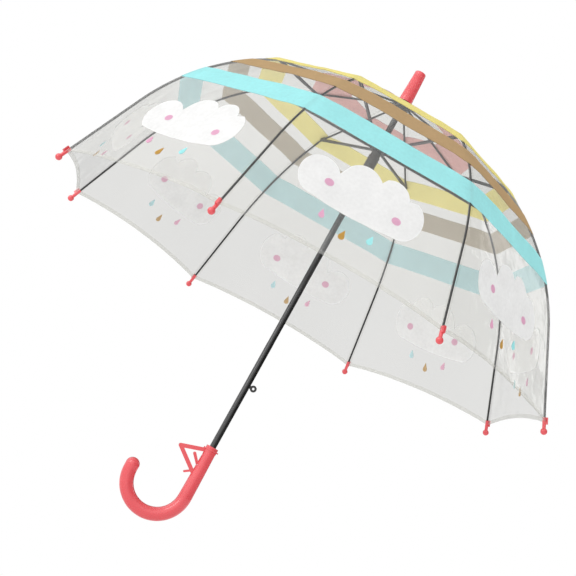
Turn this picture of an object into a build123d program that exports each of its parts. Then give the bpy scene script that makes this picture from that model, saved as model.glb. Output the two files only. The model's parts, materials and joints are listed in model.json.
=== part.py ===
from build123d import *
import os
from math import asin, atan2, cos, degrees, hypot, radians, sin

os.makedirs("parts", exist_ok=True)

# Children's dome umbrella, open. Z is the shaft axis, z = 0 is the lowest point of the hooked handle,
# and the hook points to -X. All sizes in mm.

# canopy and frame layout
RIBS = 8
PITCH = 360 / RIBS
FIRST_RIB = PITCH / 2
CROWN_Z = 607
FILM = 0.3
DOME_X = 14.7
DOME_Z = 291
DOME_R = 308
RIM_SLOPE = 65.9
RIM_RUN = 107
ROD_R = 1.3
ROD_DROP = 3.2

# pivots: the ribs turn on the top notch, the stretchers on the runner, both meet at the knuckle
PIVOT_R = 8.5
NOTCH_Z = 599.5
RUNNER_Z = 535
KNUCKLE_X = 171.5
KNUCKLE_W = 2.6
WIRE_R = 0.6
EYE_HOLE_R = 0.7
EYE_T = 1.8

# shaft
TUBE_R = 4.0
TUBE_BORE_R = 3.4
TUBE_BOTTOM = 50
TUBE_TOP = 637
SLOT_BOTTOM = 257
SLOT_TOP = 529
CATCH_Z = 199

# handle
GRIP_R = 8.5
COLLAR_R = 7.6
COLLAR_TOP = 114
HOOK_R = 37
HOOK_TIP_RISE = 5
TRIGGER_X = -6.0
TRIGGER_Z = 87

# the dome outline runs straight to the knuckles, bends on one arc and runs straight to the rim


def dome_point(radius, slope):
    """Point of the dome arc of this radius where it falls at this slope."""
    return DOME_X + radius * sin(radians(slope)), DOME_Z + radius * cos(radians(slope))


def along(point, slope, run):
    """Moves a point down a line of this slope."""
    return point[0] + run * cos(radians(slope)), point[1] - run * sin(radians(slope))


ROD_ARC_R = DOME_R - ROD_DROP
KNUCKLE_SLOPE = degrees(asin((KNUCKLE_X - DOME_X) / ROD_ARC_R))
KNUCKLE = dome_point(ROD_ARC_R, KNUCKLE_SLOPE)
INNER_SLOPE = degrees(atan2(NOTCH_Z - KNUCKLE[1], KNUCKLE_X - PIVOT_R))
ROD_RIM = along(dome_point(ROD_ARC_R, RIM_SLOPE), RIM_SLOPE, RIM_RUN)
KNUCKLE_GAP = degrees(3.2 / ROD_ARC_R)


def write(shape, name):
    """Labels one shape and writes it as its own file."""
    shape.label = name
    export_step(shape, f"parts/{name}.step")


def write_ring(shape, name):
    """Writes one numbered copy of a spoke part for every rib."""
    for i in range(RIBS):
        write(shape.rotate(Axis.Z, FIRST_RIB + i * PITCH), f"{name}_{i + 1}")


def pivot_plane(x, z, slope):
    """Plane in the rib's own plane, its x axis pointing down the slope from a pivot."""
    down = (cos(radians(slope)), 0, -sin(radians(slope)))
    return Plane(origin=(x, 0, z), x_dir=down, z_dir=(0, -1, 0))


# ---- shaft tube, with the two long slots the spring pin runs in ----
with BuildPart() as shaft_tube:
    with BuildSketch(Plane.XY.offset(TUBE_BOTTOM)):
        Circle(TUBE_R)
        Circle(TUBE_BORE_R, mode=Mode.SUBTRACT)
    extrude(amount=TUBE_TOP - TUBE_BOTTOM)
    with BuildSketch(Plane.YZ):
        with Locations((0, (SLOT_BOTTOM + SLOT_TOP) / 2)):
            SlotOverall(SLOT_TOP - SLOT_BOTTOM, 2.3, rotation=90)
    extrude(amount=TUBE_R + 1, both=True, mode=Mode.SUBTRACT)
    with BuildSketch(Plane.YZ):
        with Locations((0, CATCH_Z)):
            Rectangle(1.6, 9.4)
    extrude(amount=TUBE_R + 1, mode=Mode.SUBTRACT)
write(shaft_tube.part, "shaft_tube")

# ---- ferrule cap: tapered, finely fluted, hollow over the crown ----
CAP_BOTTOM = 605.8
CAP_TOP = 649
CAP_BASE_R = 8.6
CAP_TOP_R = 7.0
CAP_LEAN = degrees(atan2(CAP_BASE_R - CAP_TOP_R, CAP_TOP - CAP_BOTTOM))
with BuildPart() as ferrule_cap:
    with BuildSketch(Plane.XY.offset(CAP_BOTTOM)):
        Circle(CAP_BASE_R)
    with BuildSketch(Plane.XY.offset(CAP_TOP)):
        Circle(CAP_TOP_R)
    loft()
    fillet(ferrule_cap.faces().sort_by(Axis.Z)[-1].edges(), 1.8)
    with PolarLocations((CAP_BASE_R + CAP_TOP_R) / 2 + 0.25, 24):
        with Locations(Location((0, 0, (CAP_BOTTOM + CAP_TOP) / 2), (0, -CAP_LEAN, 0))):
            Cylinder(0.55, 32, mode=Mode.SUBTRACT)
    with BuildSketch(Plane.XY.offset(CAP_BOTTOM)):
        Circle(7.4)
    extrude(amount=5, mode=Mode.SUBTRACT)
    with BuildSketch(Plane.XY.offset(CAP_BOTTOM)):
        Circle(TUBE_R + 0.02)
    extrude(amount=TUBE_TOP - CAP_BOTTOM, mode=Mode.SUBTRACT)
write(ferrule_cap.part, "ferrule_cap")

# ---- soft washer between the top notch and the film ----
with BuildPart() as crown_washer:
    with BuildSketch(Plane.XY.offset(NOTCH_Z + 3)):
        Circle(8.8)
        Circle(TUBE_R + 0.02, mode=Mode.SUBTRACT)
    extrude(amount=1.2)
write(crown_washer.part, "crown_washer")


def head_slots(z, half_height):
    """The radial slots and the wire groove of a notch, as a shape to cut away."""
    with BuildPart() as cutter:
        with BuildSketch(Plane.XY.offset(z - half_height)):
            with PolarLocations(8.8, RIBS, start_angle=FIRST_RIB):
                Rectangle(6.4, EYE_T + 0.4)
        extrude(amount=2 * half_height)
        with Locations((0, 0, z)):
            Torus(PIVOT_R, WIRE_R + 0.05)
    return cutter.part


# ---- top notch, fixed on the shaft ----
with BuildPart() as top_notch:
    with BuildSketch(Plane.XY.offset(NOTCH_Z - 3)):
        Circle(10.6)
    extrude(amount=6)
    with BuildSketch(Plane.XY.offset(NOTCH_Z - 11)):
        Circle(6.2)
    extrude(amount=8)
    add(head_slots(NOTCH_Z, 3), mode=Mode.SUBTRACT)
    with BuildSketch(Plane.XY.offset(NOTCH_Z - 11)):
        Circle(TUBE_R + 0.02)
    extrude(amount=14, mode=Mode.SUBTRACT)
write(top_notch.part, "top_notch")

# ---- wire rings that thread the eyes of the ribs and of the stretchers ----
with BuildPart() as notch_wire:
    with Locations((0, 0, NOTCH_Z)):
        Torus(PIVOT_R, WIRE_R)
write(notch_wire.part, "notch_wire")

with BuildPart() as runner_wire:
    with Locations((0, 0, RUNNER_Z)):
        Torus(PIVOT_R, WIRE_R)
write(runner_wire.part, "runner_wire")

# ---- runner: slotted head, ringed grip, plain sleeve and bottom flange ----
RUNNER_BOTTOM = RUNNER_Z - 92
PLUG_Z = 525
with BuildPart() as runner:
    with BuildSketch(Plane.XY.offset(RUNNER_BOTTOM)):
        Circle(6.2)
    extrude(amount=RUNNER_Z - RUNNER_BOTTOM)
    with BuildSketch(Plane.XY.offset(RUNNER_Z - 3.2)):
        Circle(10.6)
    extrude(amount=6.4)
    with BuildSketch(Plane.XY.offset(RUNNER_BOTTOM)):
        Circle(8.2)
    extrude(amount=3)
    for k in range(11):
        with BuildSketch(Plane.XY.offset(RUNNER_Z - 10 - 3.4 * k)):
            Circle(7.2)
        extrude(amount=-1.7)
    with BuildSketch(Plane.XY.offset(RUNNER_BOTTOM + 44)):
        Circle(7.0)
    extrude(amount=2)
    add(head_slots(RUNNER_Z, 3.2), mode=Mode.SUBTRACT)
    with BuildSketch(Plane.XY.offset(RUNNER_BOTTOM)):
        Circle(TUBE_R + 0.08)
    extrude(amount=100, mode=Mode.SUBTRACT)
    with BuildSketch(Plane.YZ):
        with Locations((0, PLUG_Z)):
            Circle(1.05)
    extrude(amount=12, both=True, mode=Mode.SUBTRACT)
    with BuildSketch(Plane.XZ):
        with Locations((9, RUNNER_BOTTOM + 14.5)):
            Rectangle(14, 29)
    extrude(amount=1.1, both=True, mode=Mode.SUBTRACT)
write(runner.part, "runner")

# ---- opening spring inside the tube, between its fixed seat and the plug pinned to the runner ----
SEAT_Z = 210
PLUG_BOTTOM = PLUG_Z - 3
SPRING_TURNS = 22
with BuildPart() as spring_seat:
    with BuildSketch(Plane.XY.offset(SEAT_Z - 4)):
        Circle(TUBE_BORE_R)
    extrude(amount=4)
write(spring_seat.part, "spring_seat")

with BuildPart() as spring_plug:
    with BuildSketch(Plane.XY.offset(PLUG_BOTTOM)):
        Circle(TUBE_BORE_R - 0.1)
    extrude(amount=6)
    with BuildSketch(Plane.YZ):
        with Locations((0, PLUG_Z)):
            Circle(1.0)
    extrude(amount=6, both=True)
write(spring_plug.part, "spring_plug")

COIL_R = 2.6
COIL_WIRE_R = 0.4
COIL_LOW = SEAT_Z + COIL_WIRE_R
COIL_RISE = PLUG_BOTTOM - SEAT_Z - 2 * COIL_WIRE_R
with BuildPart() as opening_spring:
    with BuildLine():
        coil = Helix(COIL_RISE / SPRING_TURNS, COIL_RISE, COIL_R, center=(0, 0, COIL_LOW))
    with BuildSketch(Plane(origin=coil @ 0, z_dir=coil % 0)):
        Circle(COIL_WIRE_R)
    sweep(path=coil, is_frenet=True)
write(opening_spring.part, "opening_spring")

# ---- lower catch: a small loop that stands out of the shaft, and the rod that draws it in ----
with BuildPart() as lower_catch:
    with BuildSketch(Plane.XZ):
        with Locations((8.6, CATCH_Z)):
            Circle(4.2)
        with Locations((4.6, CATCH_Z)):
            Rectangle(5, 4)
        with Locations((8.6, CATCH_Z)):
            Circle(1.5, mode=Mode.SUBTRACT)
    extrude(amount=0.7, both=True)
write(lower_catch.part, "lower_catch")

with BuildPart() as release_rod:
    with BuildSketch(Plane.XY.offset(96)):
        Circle(1.2)
    extrude(amount=98)
    with BuildSketch(Plane.XY.offset(96)):
        Circle(2.9)
    extrude(amount=4)
write(release_rod.part, "release_rod")

# ---- hooked handle ----
with BuildPart() as handle:
    with BuildLine(Plane.XZ):
        CenterArc((-HOOK_R, GRIP_R + HOOK_R), HOOK_R, 0, -180)
        Line((-2 * HOOK_R, GRIP_R + HOOK_R), (-2 * HOOK_R, GRIP_R + HOOK_R + HOOK_TIP_RISE))
    with BuildSketch(Plane.XY.offset(GRIP_R + HOOK_R)):
        Circle(GRIP_R)
    sweep()
    with Locations((-2 * HOOK_R, 0, GRIP_R + HOOK_R + HOOK_TIP_RISE)):
        Sphere(GRIP_R)
    with BuildSketch(Plane.XY.offset(GRIP_R + HOOK_R)):
        Circle(GRIP_R)
    with BuildSketch(Plane.XY.offset(COLLAR_TOP - 8)):
        Circle(COLLAR_R - 0.3)
    loft()
    with BuildSketch(Plane.XY.offset(TUBE_BOTTOM)):
        Circle(TUBE_R + 0.02)
    extrude(amount=100, mode=Mode.SUBTRACT)
    with BuildSketch(Plane.XZ):
        with Locations((-7.5, TRIGGER_Z + 6)):
            Rectangle(8, 20)
    extrude(amount=1.9, both=True, mode=Mode.SUBTRACT)
    with BuildSketch(Plane.XZ):
        with Locations((TRIGGER_X, TRIGGER_Z)):
            Circle(0.8)
    extrude(amount=4.6, both=True, mode=Mode.SUBTRACT)
write(handle.part, "handle")

# ---- collar over the top of the handle, with a thin lip ----
with BuildPart() as handle_collar:
    with BuildSketch(Plane.XY.offset(COLLAR_TOP - 8)):
        Circle(COLLAR_R)
    extrude(amount=8)
    with BuildSketch(Plane.XY.offset(COLLAR_TOP - 5)):
        Circle(9.6)
    extrude(amount=1.6)
    fillet(handle_collar.faces().sort_by(Axis.Z)[-1].edges(), 0.8)
    with BuildSketch(Plane.XY.offset(COLLAR_TOP - 8)):
        Circle(TUBE_R + 0.02)
    extrude(amount=8, mode=Mode.SUBTRACT)
write(handle_collar.part, "handle_collar")

# ---- trigger guard: a three-sided loop beside the collar, with a small peg below it ----
GUARD_W = 2.5
with BuildPart() as trigger_guard:
    with BuildSketch(Plane.XZ) as guard_outline:
        with BuildLine():
            Polyline((-4, 108), (-35, 98), (-4, 74.5), close=True)
        make_face()
        offset(amount=GUARD_W, kind=Kind.ARC)
        with BuildLine():
            Polyline((-4, 108), (-35, 98), (-4, 74.5), close=True)
        offset(make_face(mode=Mode.PRIVATE), amount=-GUARD_W, mode=Mode.SUBTRACT)
        with Locations(Location((-12.2, 75.4), 35)):
            SlotOverall(12, 2.6)
    extrude(amount=2.6, both=True)
    add(handle.part, mode=Mode.SUBTRACT)
    add(handle_collar.part, mode=Mode.SUBTRACT)
    with BuildSketch(Plane.XY.offset(60)):
        Circle(GRIP_R - 1.2)
    extrude(amount=60, mode=Mode.SUBTRACT)
write(trigger_guard.part, "trigger_guard")

# ---- trigger blade and its pin ----
with BuildPart() as trigger:
    with BuildSketch(Plane.XZ):
        with Locations((TRIGGER_X, TRIGGER_Z)):
            Circle(1.75)
        with Locations((-15.5, 97.5)):
            Circle(1.9)
        with BuildLine():
            Polyline((-4.8, 88.3), (-14.2, 98.9), (-16.8, 96.1), (-7.2, 85.8), close=True)
        make_face()
        with Locations((TRIGGER_X, TRIGGER_Z)):
            Circle(0.84, mode=Mode.SUBTRACT)
    extrude(amount=1.7, both=True)
write(trigger.part, "trigger")

with BuildPart() as trigger_pin:
    with BuildSketch(Plane.XZ):
        with Locations((TRIGGER_X, TRIGGER_Z)):
            Circle(0.8)
    extrude(amount=4.6, both=True)
write(trigger_pin.part, "trigger_pin")

# ---- inner rib: eye on the notch wire, rod, fork and pin at the knuckle ----
EYE_REACH = 5
with BuildPart() as rib_inner:
    with BuildLine(Plane.XZ) as inner_line:
        Line(along((PIVOT_R, NOTCH_Z), INNER_SLOPE, EYE_REACH), along(KNUCKLE, INNER_SLOPE, -3.2))
    inner_wire = inner_line.wires()[0]
    with BuildSketch(Plane(origin=inner_wire @ 0, z_dir=inner_wire % 0)):
        Circle(ROD_R)
    sweep(path=inner_wire)
    with BuildSketch(pivot_plane(PIVOT_R, NOTCH_Z, INNER_SLOPE)):
        Circle(1.6)
        with Locations((EYE_REACH / 2, 0)):
            Rectangle(EYE_REACH + 1, 2.2)
    extrude(amount=EYE_T / 2, both=True)
    with BuildSketch(pivot_plane(PIVOT_R, NOTCH_Z, INNER_SLOPE)):
        Circle(EYE_HOLE_R)
    extrude(amount=3, both=True, mode=Mode.SUBTRACT)
    with BuildSketch(pivot_plane(KNUCKLE[0], KNUCKLE[1], INNER_SLOPE)):
        with Locations((-3, 0)):
            SlotOverall(9.6, 3.6)
    extrude(amount=KNUCKLE_W / 2, both=True)
    with BuildSketch(pivot_plane(KNUCKLE[0], KNUCKLE[1], INNER_SLOPE)):
        with Locations((0.3, 0)):
            Rectangle(6.6, 5)
    extrude(amount=0.8, both=True, mode=Mode.SUBTRACT)
    with BuildSketch(pivot_plane(KNUCKLE[0], KNUCKLE[1], INNER_SLOPE)):
        Circle(0.7)
    extrude(amount=KNUCKLE_W / 2, both=True)
write_ring(rib_inner.part, "rib_inner")

# ---- outer rib: eye in the fork, springy rod down to the rim ----
with BuildPart() as rib_outer:
    with BuildLine(Plane.XZ) as outer_line:
        CenterArc(
            (DOME_X, DOME_Z),
            ROD_ARC_R,
            90 - KNUCKLE_SLOPE - KNUCKLE_GAP,
            KNUCKLE_SLOPE + KNUCKLE_GAP - RIM_SLOPE,
        )
        Line(dome_point(ROD_ARC_R, RIM_SLOPE), along(ROD_RIM, RIM_SLOPE, 4))
    outer_wire = outer_line.wires()[0]
    with BuildSketch(Plane(origin=outer_wire @ 0, z_dir=outer_wire % 0)):
        Circle(ROD_R)
    sweep(path=outer_wire)
    with BuildSketch(pivot_plane(KNUCKLE[0], KNUCKLE[1], KNUCKLE_SLOPE)):
        Circle(1.8)
        with Locations((2.4, 0)):
            Rectangle(4.8, 2.2)
        Circle(0.75, mode=Mode.SUBTRACT)
    extrude(amount=0.7, both=True)
write_ring(rib_outer.part, "rib_outer")

# ---- stretcher: flat eye on the runner wire, U channel, and an open fork that straddles the knuckle ----
STRETCHER_L = hypot(KNUCKLE[0] - PIVOT_R, KNUCKLE[1] - RUNNER_Z)
STRETCHER_SLOPE = -degrees(atan2(KNUCKLE[1] - RUNNER_Z, KNUCKLE[0] - PIVOT_R))
CHANNEL_H = 2.8
CHANNEL_W = 2.8
FORK_W = 3.8
FORK_GAP = 2.8
FORK_L = 44
STRETCHER = pivot_plane(PIVOT_R, RUNNER_Z, STRETCHER_SLOPE)
with BuildPart() as stretcher:
    with BuildSketch(STRETCHER):
        with Locations(((9 + STRETCHER_L - FORK_L) / 2, 0)):
            Rectangle(STRETCHER_L - FORK_L - 9, CHANNEL_H)
    extrude(amount=CHANNEL_W / 2, both=True)
    with BuildSketch(STRETCHER):
        with Locations((STRETCHER_L - FORK_L / 2 - 1, 0)):
            Rectangle(FORK_L + 2, CHANNEL_H)
        with Locations((STRETCHER_L, 0)):
            Circle(CHANNEL_H / 2)
    extrude(amount=FORK_W / 2, both=True)
    with BuildSketch(STRETCHER):
        with Locations(((18 + STRETCHER_L - FORK_L) / 2, 0.6)):
            Rectangle(STRETCHER_L - FORK_L - 18, CHANNEL_H)
    extrude(amount=CHANNEL_W / 2 - 0.6, both=True, mode=Mode.SUBTRACT)
    with BuildSketch(STRETCHER):
        with Locations((STRETCHER_L - FORK_L / 2 + 2, 0)):
            Rectangle(FORK_L + 4, CHANNEL_H + 2)
    extrude(amount=FORK_GAP / 2, both=True, mode=Mode.SUBTRACT)
    with BuildSketch(STRETCHER):
        Circle(1.6)
        with Locations((5, 0)):
            Rectangle(10, 2.4)
    extrude(amount=EYE_T / 2, both=True)
    with BuildSketch(STRETCHER):
        Circle(EYE_HOLE_R)
    extrude(amount=3, both=True, mode=Mode.SUBTRACT)
    for side in (-1, 1):
        with BuildSketch(STRETCHER.offset(side * FORK_W / 2)):
            with Locations((STRETCHER_L, 0)):
                Circle(1.2)
        extrude(amount=side * 0.5)
write_ring(stretcher.part, "stretcher")


def gore_outline(radius, run_shift):
    """Draws one face of the film, as it runs down the middle of a gore, from the shaft to the rim."""
    flat = cos(radians(PITCH / 2))
    crown = (0, CROWN_Z - DOME_R + radius)
    bend = dome_point(radius, KNUCKLE_SLOPE)
    low = dome_point(radius, RIM_SLOPE)
    end = along(low, RIM_SLOPE, RIM_RUN + run_shift)
    Line(crown, (bend[0] * flat, bend[1]))
    EllipticalCenterArc(
        (DOME_X * flat, DOME_Z),
        radius * flat,
        radius,
        90 - RIM_SLOPE,
        arc_size=RIM_SLOPE - KNUCKLE_SLOPE,
    )
    Line((low[0] * flat, low[1]), (end[0] * flat, end[1]))
    return crown, (end[0] * flat, end[1])


def half_section(outer, inner, run_shift):
    """Half of a rib's share of the canopy: from the rib to the middle of the next gore."""
    middle = radians(PITCH / 2)
    face_plane = Plane(
        origin=(0, 0, 0),
        x_dir=(cos(middle), sin(middle), 0),
        z_dir=(sin(middle), -cos(middle), 0),
    )
    with BuildPart() as half:
        with BuildSketch(face_plane.offset(0.03)):
            with BuildLine():
                top_start, top_end = gore_outline(outer, run_shift)
                low_start, low_end = gore_outline(inner, run_shift)
                Line(top_start, low_start)
                Line(top_end, low_end)
            make_face()
        extrude(amount=150)
        split(bisect_by=Plane.XZ, keep=Keep.BOTTOM)
        with Locations((0, 0, CROWN_Z)):
            Cylinder(5.2, 40, mode=Mode.SUBTRACT)
    return half.part


def whole_section(outer, inner, run_shift):
    """A rib's share of the canopy, folded along the rib."""
    half = half_section(outer, inner, run_shift)
    return half + mirror(half, about=Plane.XZ)


canopy_section = whole_section(DOME_R, DOME_R - FILM, -1)
write_ring(canopy_section, "canopy_section")

# ---- rib tip: thin socket for the rod, a tab that grips the film edge, ball end ----
SOCKET_R = 2.1
BALL_R = 4.0
BALL_X = 9.2
BALL_TURN = 180 - degrees(asin(SOCKET_R / BALL_R))
tip_slot = whole_section(DOME_R + 0.1, DOME_R - FILM - 0.1, -0.8)
TIP = pivot_plane(ROD_RIM[0], ROD_RIM[1], RIM_SLOPE)
with BuildPart() as rib_tip:
    with BuildSketch(TIP):
        with BuildLine():
            ball = CenterArc((BALL_X, 0), BALL_R, 0, BALL_TURN)
            Polyline(ball @ 1, (-7, SOCKET_R), (-7, 0), ball @ 0)
        make_face()
    revolve(axis=Axis(TIP.origin, TIP.x_dir))
    with BuildSketch(TIP):
        with Locations((-3, 2.1)):
            Rectangle(8, 4.2)
    extrude(amount=1.5, both=True)
    with BuildSketch(Plane(origin=TIP.from_local_coords((-9, 0, 0)), z_dir=TIP.x_dir)):
        Circle(ROD_R + 0.02)
    extrude(amount=14, mode=Mode.SUBTRACT)
    add(tip_slot, mode=Mode.SUBTRACT)
write_ring(rib_tip.part, "rib_tip")
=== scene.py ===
import json
from math import cos, hypot, radians, sin

import bpy
from mathutils import Matrix, Vector
from mathutils.geometry import delaunay_2d_cdt
from mathutils.noise import noise as ripple_noise


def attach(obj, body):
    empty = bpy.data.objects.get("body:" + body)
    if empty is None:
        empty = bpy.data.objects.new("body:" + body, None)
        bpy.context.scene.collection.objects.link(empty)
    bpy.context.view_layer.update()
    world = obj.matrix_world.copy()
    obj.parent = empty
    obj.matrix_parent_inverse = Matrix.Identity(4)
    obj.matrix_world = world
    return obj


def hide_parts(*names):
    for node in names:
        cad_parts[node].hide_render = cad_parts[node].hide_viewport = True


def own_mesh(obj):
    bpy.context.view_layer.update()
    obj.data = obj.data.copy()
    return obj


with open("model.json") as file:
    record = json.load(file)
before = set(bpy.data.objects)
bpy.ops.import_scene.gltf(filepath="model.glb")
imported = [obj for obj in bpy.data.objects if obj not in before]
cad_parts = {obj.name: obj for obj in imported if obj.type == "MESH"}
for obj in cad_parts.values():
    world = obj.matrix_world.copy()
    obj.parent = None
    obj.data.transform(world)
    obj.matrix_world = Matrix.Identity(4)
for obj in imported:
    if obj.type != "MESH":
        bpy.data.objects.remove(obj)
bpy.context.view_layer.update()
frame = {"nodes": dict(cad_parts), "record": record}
NODES = frame["nodes"]

# ---- dome outline, in metres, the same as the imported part's film ----
RIBS = 8
PITCH = radians(45)
HALF = PITCH / 2
CROWN_Z = 0.607
CROWN_SLOPE = radians(16.67)
KNUCKLE_SLOPE = radians(30.96)
RIM_SLOPE = radians(65.9)
DOME_R = 0.308
BEND = 0.010
KNUCKLE_S = 0.1808
CROWN_S = 0.0054
ARC_START = KNUCKLE_S + BEND
ARC_SLOPE = KNUCKLE_SLOPE + BEND / DOME_R
ARC = DOME_R * (RIM_SLOPE - ARC_SLOPE)
RIM_S = ARC_START + ARC + 0.106
PROFILE = [
    (KNUCKLE_S - BEND, CROWN_SLOPE, CROWN_SLOPE),
    (2 * BEND, CROWN_SLOPE, ARC_SLOPE),
    (ARC, ARC_SLOPE, RIM_SLOPE),
    (0.2, RIM_SLOPE, RIM_SLOPE),
]

# ---- how the soft film lies on the frame ----
ROD_TOUCH = 0.0016
KNUCKLE_ROOM = 0.016
SCALLOP = 0.008
RIPPLE = 0.0011
SEAM_W = 0.004
HEM_W = 0.005
EDGE_HAZE = 12.0
WARM = (1.0, 0.998, 0.98)


def smooth(t):
    t = min(1.0, max(0.0, t))
    return t * t * (3 - 2 * t)


def dome(s):
    """Radius, height and slope of the film along a rib, s metres down from the crown."""
    r, z = 0.0, CROWN_Z
    for length, start, end in PROFILE:
        run = min(s, length)
        slope = start + (end - start) * run / length
        if end == start:
            r += run * cos(slope)
            z -= run * sin(slope)
        else:
            bend_r = length / (end - start)
            r += bend_r * (sin(slope) - sin(start))
            z -= bend_r * (cos(start) - cos(slope))
        s -= run
        if s <= 0:
            break
    return r, z, slope


def rib_angle(i):
    return HALF + i * PITCH


def drape(i, side, f, s):
    """How far the film lies off the dome: it sinks onto the rod, clears the knuckle and ripples in between."""
    sink = ROD_TOUCH * (1 - smooth(f / 0.3))
    sink *= smooth(abs(s - KNUCKLE_S) / KNUCKLE_ROOM) * smooth((s - 0.02) / 0.03)
    gore = i if side > 0 else (i - 1) % RIBS
    u = -side * (1 - f)
    wave = ripple_noise(Vector((u * 2.2, s * 16, gore * 7.3)))
    wave += 0.5 * ripple_noise(Vector((u * 5.0 + s * 22, s * 9, gore * 3.1 + 40)))
    return RIPPLE * wave * smooth(f / 0.35) * smooth((s - 0.04) / 0.1) - sink


def on_strip(i, side, f, s, lift):
    """Point of rib i's film strip: f goes from 0 at the rib to 1 at the middle of the gore on that side."""
    r, z, a = dome(s)
    lift += drape(i, side, f, s)
    r += lift * sin(a)
    z += lift * cos(a)
    x = r * (1 - f * sin(HALF) ** 2)
    y = side * f * r * cos(HALF) * sin(HALF)
    t = rib_angle(i)
    return Vector((x * cos(t) - y * sin(t), x * sin(t) + y * cos(t), z))


def rim_s(f):
    """How far the film reaches: the free edge is drawn in a little between two ribs."""
    return RIM_S - SCALLOP * (1 - (1 - f) ** 2)


def film_s(s, f):
    """Draws the lowest part of the film up to the free edge."""
    start = RIM_S - 0.06
    if s <= start:
        return s
    return start + (s - start) * (rim_s(f) - start) / (RIM_S - start)


class Sheet:
    """Collects the patches of one piece, each patch in its own material."""

    def __init__(self):
        self.points, self.faces, self.index, self.used = [], [], [], []

    def add(self, points, faces, material):
        if not faces:
            return
        if material not in self.used:
            self.used.append(material)
        base = len(self.points)
        self.points += points
        self.faces += [tuple(base + k for k in face) for face in faces]
        self.index += [self.used.index(material)] * len(faces)

    def grid(self, rows, material):
        """Adds a patch from rows of points that all have the same length."""
        w = len(rows[0])
        faces = [
            (a * w + b, a * w + b + 1, (a + 1) * w + b + 1, (a + 1) * w + b)
            for a in range(len(rows) - 1)
            for b in range(w - 1)
        ]
        self.add([p for row in rows for p in row], faces, material)

    def mesh(self, name):
        """Makes the object from the patches."""
        mesh = bpy.data.meshes.new(name)
        mesh.from_pydata([tuple(p) for p in self.points], [], self.faces)
        for key in self.used:
            mesh.materials.append(M[key])
        mesh.polygons.foreach_set("material_index", self.index)
        mesh.polygons.foreach_set("use_smooth", [True] * len(mesh.polygons))
        mesh.update()
        obj = bpy.data.objects.new(name, mesh)
        bpy.context.scene.collection.objects.link(obj)
        return obj

    def piece(self, name, i, body):
        """A piece that rides on its rib: it is parented to the rib's body."""
        if not self.faces:
            return None
        obj = self.mesh(f"{name}_{i + 1}")
        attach(obj, f"{body}_{i + 1}")
        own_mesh(obj)
        return obj


# ---- materials ----
def material(name):
    m = bpy.data.materials.new(name)
    m.use_nodes = True
    nt = m.node_tree
    nt.nodes.clear()
    return m, nt, nt.nodes.new("ShaderNodeOutputMaterial")


def noise(nt, scale, detail=3.0):
    tex = nt.nodes.new("ShaderNodeTexNoise")
    tex.inputs["Scale"].default_value = scale
    tex.inputs["Detail"].default_value = detail
    co = nt.nodes.new("ShaderNodeTexCoord")
    nt.links.new(co.outputs["Object"], tex.inputs["Vector"])
    return tex.outputs["Fac"]


def ramp(nt, source, low, high, a=0.3, b=0.7):
    r = nt.nodes.new("ShaderNodeValToRGB")
    r.color_ramp.elements[0].position = a
    r.color_ramp.elements[1].position = b
    r.color_ramp.elements[0].color = (*low, 1)
    r.color_ramp.elements[1].color = (*high, 1)
    nt.links.new(source, r.inputs["Fac"])
    return r.outputs[0]


def math(nt, kind, a, b):
    n = nt.nodes.new("ShaderNodeMath")
    n.operation = kind
    for k, v in enumerate((a, b)):
        if isinstance(v, (int, float)):
            n.inputs[k].default_value = v
        else:
            nt.links.new(v, n.inputs[k])
    return n.outputs[0]


def mix(nt, factor, first, second):
    n = nt.nodes.new("ShaderNodeMixShader")
    if isinstance(factor, (int, float)):
        n.inputs[0].default_value = factor
    else:
        nt.links.new(factor, n.inputs[0])
    nt.links.new(first, n.inputs[1])
    nt.links.new(second, n.inputs[2])
    return n.outputs[0]


def bump(nt, height, distance, strength=1.0):
    b = nt.nodes.new("ShaderNodeBump")
    b.inputs["Strength"].default_value = strength
    b.inputs["Distance"].default_value = distance
    nt.links.new(height, b.inputs["Height"])
    return b.outputs[0]


def grazing(nt, base, gain, normal=None):
    """Share of mirror reflection of a thin sheet, the same from both sides."""
    w = nt.nodes.new("ShaderNodeLayerWeight")
    w.inputs["Blend"].default_value = 0.5
    if normal:
        nt.links.new(normal, w.inputs["Normal"])
    return math(nt, "ADD", math(nt, "MULTIPLY", math(nt, "POWER", w.outputs["Facing"], 4.0), gain), base)


def solid(name, low, high, rough, metallic=0.0, scale=60.0, grain=0.0, coat=0.0, grain_scale=400.0):
    """Opaque finish whose colour and gloss drift a little across the surface."""
    m, nt, out = material(name)
    p = nt.nodes.new("ShaderNodeBsdfPrincipled")
    nt.links.new(p.outputs[0], out.inputs[0])
    nt.links.new(ramp(nt, noise(nt, scale), low, high), p.inputs["Base Color"])
    gloss = ramp(nt, noise(nt, scale * 2.3), (rough * 0.8,) * 3, (rough * 1.25,) * 3)
    nt.links.new(gloss, p.inputs["Roughness"])
    p.inputs["Metallic"].default_value = metallic
    p.inputs["Coat Weight"].default_value = coat
    p.inputs["Coat Roughness"].default_value = 0.06
    if grain:
        nt.links.new(bump(nt, noise(nt, grain_scale), 0.0004, grain), p.inputs["Normal"])
    return m


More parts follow.
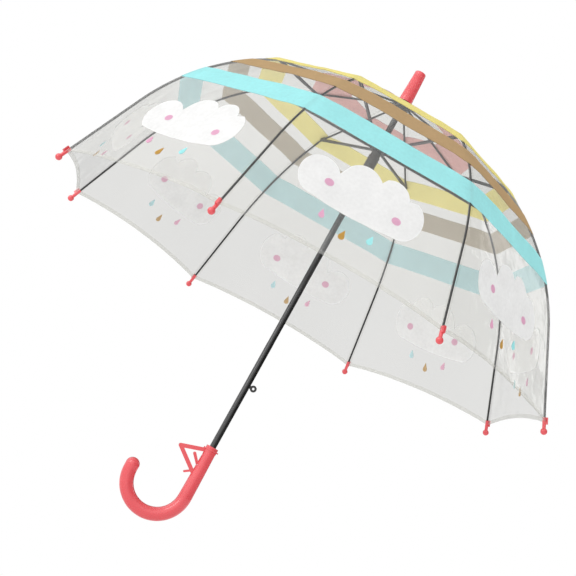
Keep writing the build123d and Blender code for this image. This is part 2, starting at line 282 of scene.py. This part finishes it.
def film(name, veil, outside, inside):
    """Clear soft film, a little milky, with a soft sheen and faint creases; seen from inside it is greyer for
    camera rays only, which is painted shade of the dome's interior.
    """
    m, nt, out = material(name)

    def pane(tint):
        glass = nt.nodes.new("ShaderNodeBsdfTransparent")
        low, high = ([(tint + off) * w for w in WARM] for off in (-0.012, 0.008))
        nt.links.new(ramp(nt, noise(nt, 9.0), low, high), glass.inputs["Color"])
        return glass.outputs[0]

    turned = nt.nodes.new("ShaderNodeNewGeometry").outputs["Backfacing"]
    # Seen from inside the pane is greyer for camera rays: painted shade of the dome's interior. Other rays
    # pass the lighter pane below.
    seen = mix(nt, turned, pane(inside), pane(outside))
    lit = nt.nodes.new("ShaderNodeBsdfTransparent")
    lit.inputs["Color"].default_value = (0.97, 0.97, 0.97, 1)
    path = nt.nodes.new("ShaderNodeLightPath")
    clear = mix(nt, path.outputs["Is Camera Ray"], lit.outputs[0], seen)
    front = nt.nodes.new("ShaderNodeBsdfDiffuse")
    back = nt.nodes.new("ShaderNodeBsdfTranslucent")
    for milk in (front, back):
        milk.inputs["Color"].default_value = (0.88, 0.885, 0.88, 1)
    crease = bump(nt, noise(nt, 14.0, 5.0), 0.012, 0.5)
    sheen = nt.nodes.new("ShaderNodeBsdfGlossy")
    sheen.inputs["Roughness"].default_value = 0.10
    nt.links.new(crease, sheen.inputs["Normal"])
    milky = mix(nt, 0.72, front.outputs[0], back.outputs[0])
    amount = ramp(nt, noise(nt, 6.0), (veil * 0.82,) * 3, (veil * 1.18,) * 3)
    edge_on = nt.nodes.new("ShaderNodeLayerWeight").outputs["Facing"]
    amount = math(nt, "MINIMUM", math(nt, "ADD", amount, math(nt, "POWER", edge_on, EDGE_HAZE)), 0.9)
    body = mix(nt, amount, clear, milky)
    nt.links.new(mix(nt, grazing(nt, 0.022, 0.30), body, sheen.outputs[0]), out.inputs[0])
    return m


def ink(name, colour, inside, cover):
    """Printed ink on the film: bright outside, paler seen from inside, and it hides the film behind."""
    m, nt, out = material(name)
    clear = nt.nodes.new("ShaderNodeBsdfTransparent")
    clear.inputs["Color"].default_value = (*colour, 1)

    def side(tone):
        front = nt.nodes.new("ShaderNodeBsdfDiffuse")
        back = nt.nodes.new("ShaderNodeBsdfTranslucent")
        drift = ramp(nt, noise(nt, 40.0), tuple(c * 0.95 for c in tone), tone)
        for coat in (front, back):
            nt.links.new(drift, coat.inputs["Color"])
        return mix(nt, 0.22, front.outputs[0], back.outputs[0])

    turned = nt.nodes.new("ShaderNodeNewGeometry").outputs["Backfacing"]
    printed = mix(nt, turned, side(inside), side(colour))
    grain = ramp(nt, noise(nt, 260.0), (max(0.0, cover - 0.05),) * 3, (min(1.0, cover + 0.03),) * 3)
    nt.links.new(mix(nt, grain, clear.outputs[0], printed), out.inputs[0])
    return m


def floor_finish():
    """Pale floor that melts into the white surroundings away from the object."""
    m, nt, out = material("floor")
    near = nt.nodes.new("ShaderNodeBsdfDiffuse")
    nt.links.new(ramp(nt, noise(nt, 0.7), (0.90,) * 3, (0.93,) * 3), near.inputs["Color"])
    far = nt.nodes.new("ShaderNodeEmission")
    place = nt.nodes.new("ShaderNodeNewGeometry")
    length = nt.nodes.new("ShaderNodeVectorMath")
    length.operation = "LENGTH"
    nt.links.new(place.outputs["Position"], length.inputs[0])
    fade = nt.nodes.new("ShaderNodeMapRange")
    fade.interpolation_type = "SMOOTHSTEP"
    fade.inputs["From Min"].default_value = 0.45
    fade.inputs["From Max"].default_value = 1.5
    nt.links.new(length.outputs["Value"], fade.inputs["Value"])
    nt.links.new(mix(nt, fade.outputs[0], near.outputs[0], far.outputs[0]), out.inputs[0])
    return m


M = {
    "black_tube": solid("black_tube", (0.008,) * 3, (0.014,) * 3, 0.2, 0.0, 80, 0.05, 0.3),
    "black_wire": solid("black_wire", (0.012,) * 3, (0.022,) * 3, 0.38, 0.0, 120, 0.08),
    "steel_wire": solid("steel_wire", (0.5, 0.5, 0.52), (0.65, 0.65, 0.67), 0.28, 1.0, 150, 0.05),
    "dark_plastic": solid("dark_plastic", (0.045,) * 3, (0.065,) * 3, 0.42, 0.0, 70, 0.15),
    "coral_plastic": solid(
        "coral_plastic", (0.76, 0.075, 0.09), (0.81, 0.095, 0.11), 0.26, 0.0, 30, 0.006, 0.4
    ),
    # The greyer inside tints of the film finishes are painted shade of the dome's interior.
    "film": film("clear_film", 0.125, 0.985, 0.745),
    # Less haze on the film over the rod: painted shade of the rod, so that the rod stays dark through the
    # film.
    "contact": film("film_on_rod_painted_shade", 0.03, 0.98, 0.80),
    "seam": film("film_seam", 0.05, 0.975, 0.94),
    "hem": film("film_hem", 0.06, 0.975, 0.95),
    "turquoise": ink("ink_turquoise", (0.46, 0.92, 0.93), (0.66, 0.84, 0.86), 0.98),
    "tan": ink("ink_tan", (0.60, 0.42, 0.23), (0.62, 0.57, 0.48), 0.98),
    "yellow": ink("ink_yellow", (0.94, 0.85, 0.34), (0.98, 0.91, 0.42), 0.96),
    "pink": ink("ink_pink", (0.84, 0.52, 0.58), (0.92, 0.62, 0.58), 0.88),
    "white": ink("ink_white", (0.96, 0.96, 0.955), (0.97, 0.97, 0.965), 0.98),
    "blush": ink("ink_blush", (0.88, 0.50, 0.68), (0.90, 0.60, 0.72), 0.95),
    "gold": ink("ink_gold", (0.66, 0.40, 0.11), (0.70, 0.52, 0.30), 0.92),
}


def dress_cad():
    """Gives every shown CAD node the finish of its slot in the record."""
    for part in frame["record"]["subparts"]:
        node = NODES[part["node"]]
        slot = part["material_slot"]
        if slot in M:
            node.data.materials.clear()
            node.data.materials.append(M[slot])


# ---- film strips ----
def steps(lo, hi, size):
    n = max(1, round((hi - lo) / size))
    return [lo + (hi - lo) * k / n for k in range(n + 1)]


COLUMNS = [(-1, 1 - k / 8) for k in range(8)] + [(1, k / 8) for k in range(9)]
CONTACT_W = 0.0017
FOLD = [(-HEM_W, 0.0005), (0, 0.0004), (0.0003, 0), (0, -0.0004), (-HEM_W, -0.0005)]


def reach(offset, s):
    """Share of the way to the middle of the gore that lies this many metres from the rib."""
    return min(0.5, offset / (dome(s)[0] * cos(HALF) * sin(HALF)))


def across(inner):
    """Columns of the film from the rod to the middle of the gore."""
    return [inner + (1 - inner) * k / 8 for k in range(9)]


def film_strip(i, part, lo, hi, body):
    """One rib's share of the film between two distances from the crown, with its seam and hem."""
    sheet = Sheet()
    rings = steps(lo, hi, 0.005)
    for side in (-1, 1):
        rows = []
        for s in rings:
            inner = reach(CONTACT_W, s)
            rows.append([on_strip(i, side, f, film_s(s, f), 0) for f in across(inner)[::side]])
        sheet.grid(rows, "film")
        edges = (CONTACT_W, SEAM_W)[::side]
        seam = [[on_strip(i, side, reach(w, s), s, 0.0002) for w in edges] for s in rings]
        sheet.grid(seam, "seam")
        if hi == RIM_S:
            wide = ([0] + across(reach(CONTACT_W, hi)))[::side]
            rows = [[on_strip(i, side, f, rim_s(f) + ds, lift) for f in wide] for ds, lift in FOLD]
            sheet.grid(rows, "hem")
    # The strip lying on the rod, in the finish whose low haze is painted shade of the rod.
    rows = [[on_strip(i, side, reach(w, s), s, 0) for side, w in ON_ROD] for s in rings]
    sheet.grid(rows, "contact")
    strip = sheet.piece(f"film_{part}", i, body)
    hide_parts(f"canopy_section_{i + 1}")


ON_ROD = [(-1, CONTACT_W), (1, 0), (1, CONTACT_W)]
AROUND = [radians(7.5 * k) for k in range(49)]


def crown_patch():
    """The film's own crown, clamped between the washer and the ferrule cap."""
    sheet = Sheet()
    rings = [[dome(s)[0] * Vector((cos(t), sin(t), 0)) + Vector((0, 0, dome(s)[1] + 0.0002)) for t in AROUND]
             for s in (0.0042, 0.0098)]
    sheet.grid(rings, "film")
    patch = sheet.mesh("film_crown")
    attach(patch, "shaft")


# ---- print: rings, clouds and drops ----
RINGS = [
    ("pink", 0.070, 0.124),
    ("yellow", 0.166, 0.199),
    ("tan", 0.216, 0.245),
    ("turquoise", 0.277, 0.310),
]
PRINT_LIFT = 0.00035


def gore_point(i, side, u, s, lift):
    """Point on rib i's strip at u metres from the middle of the gore on that side."""
    half_width = dome(s)[0] * sin(HALF)
    return on_strip(i, side, 1 - abs(u) / half_width, s, lift)


def arc(cu, cs, ru, rs, a0, a1, n):
    """Points of an elliptical arc on the unrolled gore, as (u, s)."""
    angles = [radians(a0 + (a1 - a0) * k / n) for k in range(n + 1)]
    return [(cu + ru * cos(a), cs - rs * sin(a)) for a in angles]


def cloud_outline():
    """Lobed cloud seen from outside, as (u, s): four lobes over a nearly flat base."""
    out = arc(-0.054, 0.3835, 0.0225, 0.0260, 250, 36, 26)
    out += arc(-0.0105, 0.3720, 0.0245, 0.0300, 140, 42, 18)
    out += arc(0.0230, 0.3640, 0.0200, 0.0240, 125, 20, 16)
    out += arc(0.0440, 0.3790, 0.0215, 0.0275, 70, -92, 24)
    out += [(0.020, 0.4095), (-0.010, 0.4110), (-0.035, 0.4105)]
    return out


def drop_outline(u, s, w, h, lean):
    """A rain drop: round below, drawn to a point above."""
    return arc(u, s, w, w, 150, 390, 16) + [(u + lean, s - h)]


def oval(u, s, ru, rs):
    return arc(u, s, ru, rs, 0, 345, 23)


def clip_side(outline, sign):
    """Part of a closed outline on one side of the middle of the gore."""
    out = []
    for k, (u0, s0) in enumerate(outline):
        u1, s1 = outline[(k + 1) % len(outline)]
        if u0 * sign >= 0:
            out.append((u0, s0))
        if (u0 > 0) != (u1 > 0) and u0 != u1:
            out.append((0.0, s0 - u0 / (u1 - u0) * (s1 - s0)))
    return out


def fill(corners, size=0.004):
    """Triangles that fill an outline, with points along and inside it so that it bends with the film."""
    outline = []
    for k, (u0, s0) in enumerate(corners):
        u1, s1 = corners[(k + 1) % len(corners)]
        n = max(1, round(hypot(u1 - u0, s1 - s0) / size))
        outline += [(u0 + (u1 - u0) * j / n, s0 + (s1 - s0) * j / n) for j in range(n)]
    us = [p[0] for p in outline]
    ss = [p[1] for p in outline]
    inner = [(u, s) for u in steps(min(us), max(us), size)[1:-1] for s in steps(min(ss), max(ss), size)[1:-1]]
    n = len(outline)
    verts = [Vector(p) for p in outline + inner]
    got = delaunay_2d_cdt(verts, [(k, (k + 1) % n) for k in range(n)], [list(range(n))], 1, 1e-7)
    return [(v.x, v.y) for v in got[0]], [tuple(f) for f in got[2]]


def print_layer(i, part, body, lo, hi, shapes):
    """The print of one strip, on both faces of the film: rings, and the shapes in the middle of the gores."""
    sheet = Sheet()
    for colour, a, b in RINGS:
        a, b = max(a, lo), min(b, hi)
        if b > a:
            rings = steps(a, b, 0.005)
            for lift in (PRINT_LIFT, -PRINT_LIFT):
                sheet.grid([[on_strip(i, side, f, s, lift) for side, f in COLUMNS] for s in rings], colour)
    for colour, outline, lift in shapes:
        for side in (-1, 1):
            half = clip_side(outline, -side)
            if len(half) > 2:
                flat, triangles = fill(half)
                for face in (lift, -lift):
                    sheet.add([gore_point(i, side, u, s, face) for u, s in flat], triangles, colour)
    sheet.piece(f"print_{part}", i, body)


SHAPES = [
    ("white", cloud_outline(), 0.0004),
    ("blush", oval(-0.0415, 0.385, 0.0052, 0.0046), 0.0006),
    ("blush", oval(0.038, 0.3865, 0.0052, 0.0046), 0.0006),
    ("blush", drop_outline(-0.033, 0.425, 0.0032, 0.0080, -0.001), 0.0004),
    ("gold", drop_outline(-0.005, 0.4365, 0.0034, 0.0090, 0.001), 0.0004),
    ("turquoise", drop_outline(0.023, 0.4255, 0.0034, 0.0085, 0.001), 0.0004),
]


def canopy():
    for i in range(RIBS):
        film_strip(i, "upper", CROWN_S, KNUCKLE_S, "upper_rib")
        film_strip(i, "lower", KNUCKLE_S, RIM_S, "lower_rib")
        print_layer(i, "upper", "upper_rib", 0.0, KNUCKLE_S, [])
        print_layer(i, "lower", "lower_rib", KNUCKLE_S, RIM_S, SHAPES)
    crown_patch()


# ---- stage, light and camera ----
FLOOR_Z = -0.42
FLOOR_SIDE = 60


def floor():
    corners = [(-1, -1), (1, -1), (1, 1), (-1, 1)]
    mesh = bpy.data.meshes.new("floor")
    mesh.from_pydata([(x * FLOOR_SIDE, y * FLOOR_SIDE, FLOOR_Z) for x, y in corners], [], [(0, 1, 2, 3)])
    mesh.materials.append(floor_finish())
    obj = bpy.data.objects.new("floor", mesh)
    bpy.context.scene.collection.objects.link(obj)


def area(name, where, target, size, power):
    light = bpy.data.lights.new(name, "AREA")
    light.shape = "RECTANGLE"
    light.size, light.size_y = size
    light.energy = power
    obj = bpy.data.objects.new(name, light)
    obj.location = where
    obj.rotation_mode = "QUATERNION"
    obj.rotation_quaternion = (Vector(target) - Vector(where)).to_track_quat("-Z", "Y")
    bpy.context.scene.collection.objects.link(obj)


def studio():
    """White surroundings, brighter from the upper left front, with a darker side in reflections."""
    world = bpy.data.worlds.new("studio")
    bpy.context.scene.world = world
    world.use_nodes = True
    nt = world.node_tree
    out = nt.nodes["World Output"]
    white = nt.nodes["Background"]
    white.inputs[0].default_value = (1, 1, 1, 1)
    white.inputs[1].default_value = 1.0
    co = nt.nodes.new("ShaderNodeTexCoord")
    dot = nt.nodes.new("ShaderNodeVectorMath")
    dot.operation = "DOT_PRODUCT"
    dot.inputs[1].default_value = Vector((-0.80, -0.40, 0.45)).normalized()
    nt.links.new(co.outputs["Generated"], dot.inputs[0])
    path = nt.nodes.new("ShaderNodeLightPath")

    def lit(low, high, start=-0.9, end=0.9):
        spread = nt.nodes.new("ShaderNodeMapRange")
        spread.interpolation_type = "SMOOTHSTEP"
        spread.inputs["From Min"].default_value = start
        spread.inputs["From Max"].default_value = end
        spread.inputs["To Min"].default_value = low
        spread.inputs["To Max"].default_value = high
        nt.links.new(dot.outputs["Value"], spread.inputs["Value"])
        bg = nt.nodes.new("ShaderNodeBackground")
        nt.links.new(spread.outputs[0], bg.inputs[1])
        return bg.outputs[0]

    indirect = mix(nt, path.outputs["Is Glossy Ray"], lit(0.92, 1.2), lit(0.02, 2.4, -0.1, 0.8))
    nt.links.new(mix(nt, path.outputs["Is Camera Ray"], indirect, white.outputs[0]), out.inputs[0])
    area("key", (-2.1, -1.4, 1.1), (0, 0, 0.3), (0.7, 1.6), 16)
    area("rim", (1.6, 0.9, 1.4), (0, 0, 0.4), (0.4, 1.2), 4)
    bpy.context.scene.view_settings.view_transform = "Standard"
    bpy.context.scene.cycles.transparent_max_bounces = 32


CAMERA_AZIMUTH = radians(-2.82)
CAMERA_ELEVATION = radians(-7.90)
CAMERA_ROLL = radians(29.11)
CAMERA_AWAY = 1.643
CAMERA_AIM = (0, 0, 0.307)


def camera():
    """Looks from a little below the rim, rolled so that the shaft leans to the right."""
    level = Vector((cos(CAMERA_AZIMUTH), sin(CAMERA_AZIMUTH), 0))
    away = Vector((sin(CAMERA_AZIMUTH), -cos(CAMERA_AZIMUTH), 0))
    back = away * cos(CAMERA_ELEVATION) + Vector((0, 0, sin(CAMERA_ELEVATION)))
    rise = back.cross(level)
    right = cos(CAMERA_ROLL) * level + sin(CAMERA_ROLL) * rise
    up = cos(CAMERA_ROLL) * rise - sin(CAMERA_ROLL) * level
    data = bpy.data.cameras.new("camera")
    data.lens = 84
    data.shift_x = -0.0035
    data.shift_y = 0.0355
    data.clip_start = 0.05
    cam = bpy.data.objects.new("camera", data)
    place = Matrix((right, up, back)).transposed().to_4x4()
    place.translation = Vector(CAMERA_AIM) + back * CAMERA_AWAY
    cam.matrix_world = place
    bpy.context.scene.collection.objects.link(cam)
    bpy.context.scene.camera = cam


dress_cad()
canopy()
floor()
studio()
camera()
